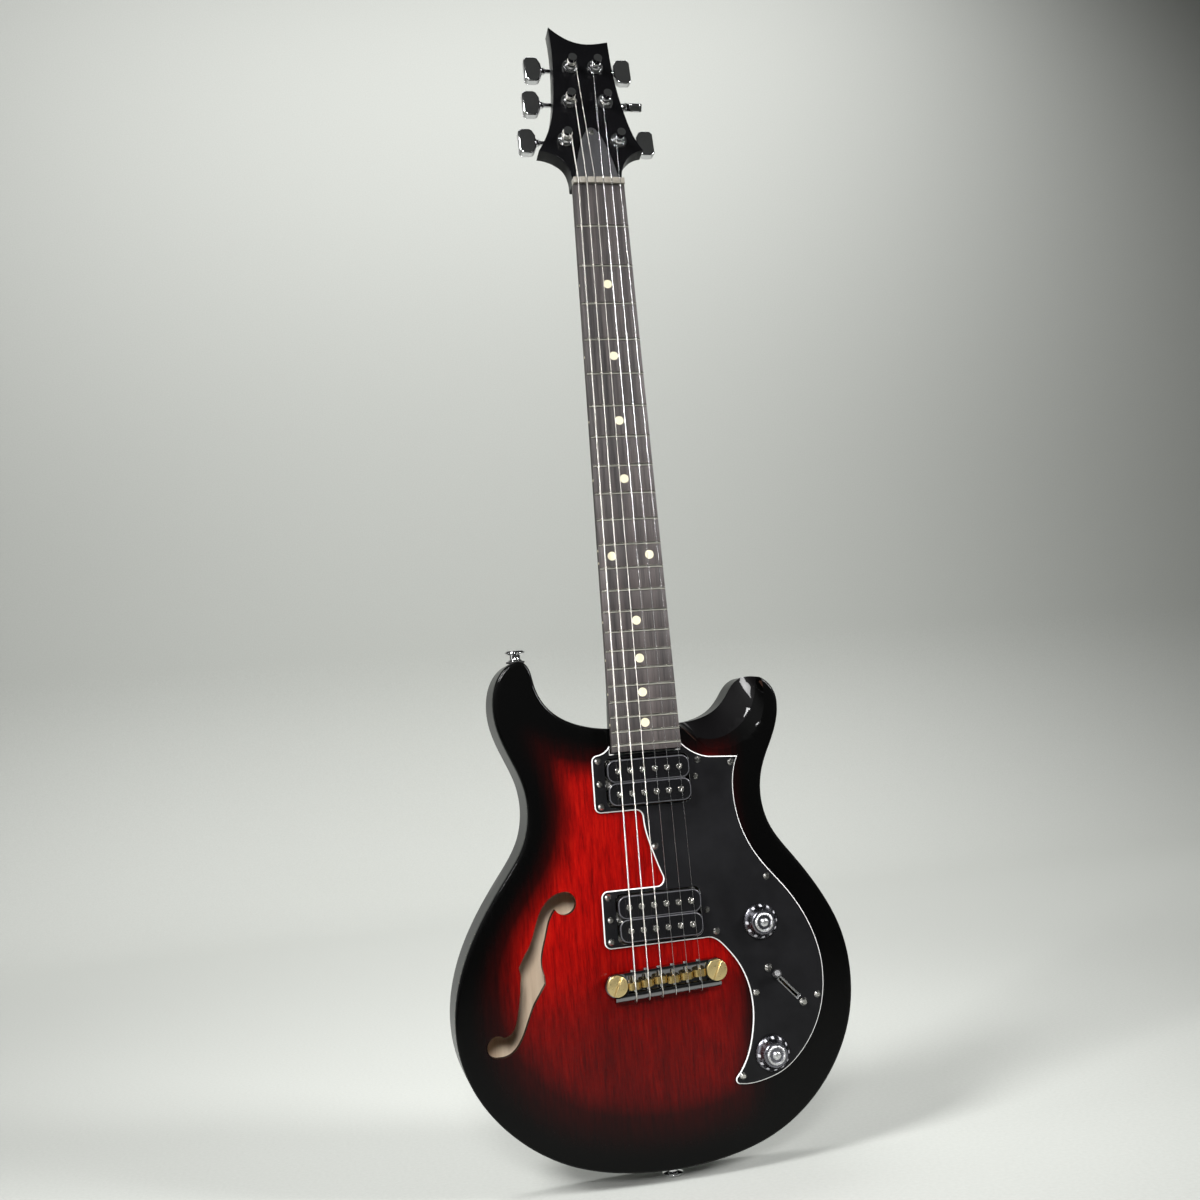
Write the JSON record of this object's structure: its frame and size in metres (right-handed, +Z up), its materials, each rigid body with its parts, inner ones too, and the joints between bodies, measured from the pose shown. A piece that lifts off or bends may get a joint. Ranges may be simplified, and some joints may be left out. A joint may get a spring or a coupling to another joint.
{
  "type": "electric guitar",
  "caption": "Semi-hollow double-cutaway electric guitar with a bolted guard, open coils, wraparound bridge and a tilted six-tuner headstock.",
  "frame": {"origin": "seat of the end strap button on the body's butt end, in the middle of the body's thickness", "axes": "+X towards the treble side, +Y towards the back, +Z up the neck to the headstock"},
  "size_m": [0.3172, 0.06, 0.9416],
  "materials": {
    "cherry_lacquer": "gloss",
    "black_lacquer": "gloss",
    "rosewood": "satin",
    "cream_dot": "satin",
    "bone": "satin",
    "nickel_silver": "polished",
    "steel": "satin",
    "wound_string": "wound",
    "cover_plastic": "matte",
    "guard_plastic": "gloss with a white ply edge",
    "coil_black": "gloss",
    "magnet": "rough",
    "nickel": "polished",
    "chrome": "polished",
    "brass": "satin",
    "knob_black": "gloss with pale numerals",
    "tip_black": "gloss",
    "felt": "felt"
  },
  "bodies": {
    "guitar": {"body_top": "cherry_lacquer", "body_core": "black_lacquer", "neck": "black_lacquer", "fretboard": "rosewood", "inlay_dots": "cream_dot", "nut": "bone", "frets": "nickel_silver", "truss_rod": "steel", "pickup_springs": "steel", "pickup_baseplates": "steel", "switch_frame": "steel", "control_pots": "steel", "plain_strings": "steel", "wound_strings": "wound_string", "truss_rod_cover": "cover_plastic", "pickguard": "guard_plastic", "neck_pickup_coils": "coil_black", "bridge_pickup_coils": "coil_black", "pickup_magnets": "magnet", "headstock_screws": "nickel", "pickguard_screws": "nickel", "pickup_height_screws": "nickel", "switch_screws": "nickel", "pickup_poles": "nickel", "intonation_screws": "nickel", "strap_screws": "nickel", "bridge_bar": "chrome", "tuner_housings": "chrome", "tuner_bushings": "chrome", "output_jack": "chrome", "jack_cup": "chrome", "strap_buttons": "chrome", "bridge_studs": "brass", "stud_inserts": "brass", "strap_felts": "felt"},
    "volume_control": {"volume_knob": "knob_black", "volume_shaft": "steel"},
    "tone_control": {"tone_knob": "knob_black", "tone_shaft": "steel"},
    "pickup_selector": {"switch_lever": "chrome", "switch_tip": "tip_black"},
    "post_1": {"tuner_post_1": "chrome"},
    "key_1": {"tuner_key_1": "chrome"},
    "saddle_1": {"saddle_1": "brass"},
    "post_2": {"tuner_post_2": "chrome"},
    "key_2": {"tuner_key_2": "chrome"},
    "saddle_2": {"saddle_2": "brass"},
    "post_3": {"tuner_post_3": "chrome"},
    "key_3": {"tuner_key_3": "chrome"},
    "saddle_3": {"saddle_3": "brass"},
    "post_4": {"tuner_post_4": "chrome"},
    "key_4": {"tuner_key_4": "chrome"},
    "saddle_4": {"saddle_4": "brass"},
    "post_5": {"tuner_post_5": "chrome"},
    "key_5": {"tuner_key_5": "chrome"},
    "saddle_5": {"saddle_5": "brass"},
    "post_6": {"tuner_post_6": "chrome"},
    "key_6": {"tuner_key_6": "chrome"},
    "saddle_6": {"saddle_6": "brass"}
  },
  "joints": [
    {"name": "key_6_turn", "type": "hinge", "parent": "guitar", "child": "key_6", "pos_m": [-0.0225, -0.00109, 0.83038], "axis": [1, 0, 0], "continuous": true},
    {"name": "post_6_turn", "type": "hinge", "parent": "guitar", "child": "post_6", "pos_m": [-0.0225, -0.02198, 0.82377], "axis": [0, 0.9877, -0.1564], "continuous": true},
    {"name": "key_5_turn", "type": "hinge", "parent": "guitar", "child": "key_5", "pos_m": [-0.0154, 0.00473, 0.86712], "axis": [1, 0, 0], "continuous": true},
    {"name": "post_5_turn", "type": "hinge", "parent": "guitar", "child": "post_5", "pos_m": [-0.0154, -0.01616, 0.86051], "axis": [0, 0.9877, -0.1564], "continuous": true},
    {"name": "key_4_turn", "type": "hinge", "parent": "guitar", "child": "key_4", "pos_m": [-0.0108, 0.01002, 0.90051], "axis": [1, 0, 0], "continuous": true},
    {"name": "post_4_turn", "type": "hinge", "parent": "guitar", "child": "post_4", "pos_m": [-0.0108, -0.01087, 0.89389], "axis": [0, 0.9877, -0.1564], "continuous": true},
    {"name": "key_3_turn", "type": "hinge", "parent": "guitar", "child": "key_3", "pos_m": [0.0108, 0.01002, 0.90051], "axis": [1, 0, 0], "continuous": true},
    {"name": "post_3_turn", "type": "hinge", "parent": "guitar", "child": "post_3", "pos_m": [0.0108, -0.01087, 0.89389], "axis": [0, 0.9877, -0.1564], "continuous": true},
    {"name": "key_2_turn", "type": "hinge", "parent": "guitar", "child": "key_2", "pos_m": [0.0154, 0.00473, 0.86712], "axis": [1, 0, 0], "continuous": true},
    {"name": "post_2_turn", "type": "hinge", "parent": "guitar", "child": "post_2", "pos_m": [0.0154, -0.01616, 0.86051], "axis": [0, 0.9877, -0.1564], "continuous": true},
    {"name": "key_1_turn", "type": "hinge", "parent": "guitar", "child": "key_1", "pos_m": [0.0225, -0.00109, 0.83038], "axis": [1, 0, 0], "continuous": true},
    {"name": "post_1_turn", "type": "hinge", "parent": "guitar", "child": "post_1", "pos_m": [0.0225, -0.02198, 0.82377], "axis": [0, 0.9877, -0.1564], "continuous": true},
    {"name": "saddle_6_slide", "type": "slide", "parent": "guitar", "child": "saddle_6", "axis": [-0.0419, 0, 0.9991], "range_m": [-0.0018, 0.0018]},
    {"name": "saddle_5_slide", "type": "slide", "parent": "guitar", "child": "saddle_5", "axis": [-0.0419, 0, 0.9991], "range_m": [-0.0018, 0.0018]},
    {"name": "saddle_4_slide", "type": "slide", "parent": "guitar", "child": "saddle_4", "axis": [-0.0419, 0, 0.9991], "range_m": [-0.0018, 0.0018]},
    {"name": "saddle_3_slide", "type": "slide", "parent": "guitar", "child": "saddle_3", "axis": [-0.0419, 0, 0.9991], "range_m": [-0.0018, 0.0018]},
    {"name": "saddle_2_slide", "type": "slide", "parent": "guitar", "child": "saddle_2", "axis": [-0.0419, 0, 0.9991], "range_m": [-0.0018, 0.0018]},
    {"name": "saddle_1_slide", "type": "slide", "parent": "guitar", "child": "saddle_1", "axis": [-0.0419, 0, 0.9991], "range_m": [-0.0018, 0.0018]},
    {"name": "volume_turn", "type": "hinge", "parent": "guitar", "child": "volume_control", "pos_m": [0.0812, -0.02465, 0.1782], "axis": [0, -1, 0], "range_deg": [-285, 15]},
    {"name": "tone_turn", "type": "hinge", "parent": "guitar", "child": "tone_control", "pos_m": [0.0812, -0.02465, 0.0771], "axis": [0, -1, 0], "range_deg": [-285, 15]},
    {"name": "selector_tilt", "type": "hinge", "parent": "guitar", "child": "pickup_selector", "pos_m": [0.09835, -0.00665, 0.12685], "axis": [0.7442, 0, 0.668], "range_deg": [0, 56]}
  ],
  "couplings": [
    {"joint": "post_6_turn", "follows": "key_6_turn", "ratio": 0.071429},
    {"joint": "post_5_turn", "follows": "key_5_turn", "ratio": 0.071429},
    {"joint": "post_4_turn", "follows": "key_4_turn", "ratio": 0.071429},
    {"joint": "post_3_turn", "follows": "key_3_turn", "ratio": 0.071429},
    {"joint": "post_2_turn", "follows": "key_2_turn", "ratio": 0.071429},
    {"joint": "post_1_turn", "follows": "key_1_turn", "ratio": 0.071429}
  ]
}
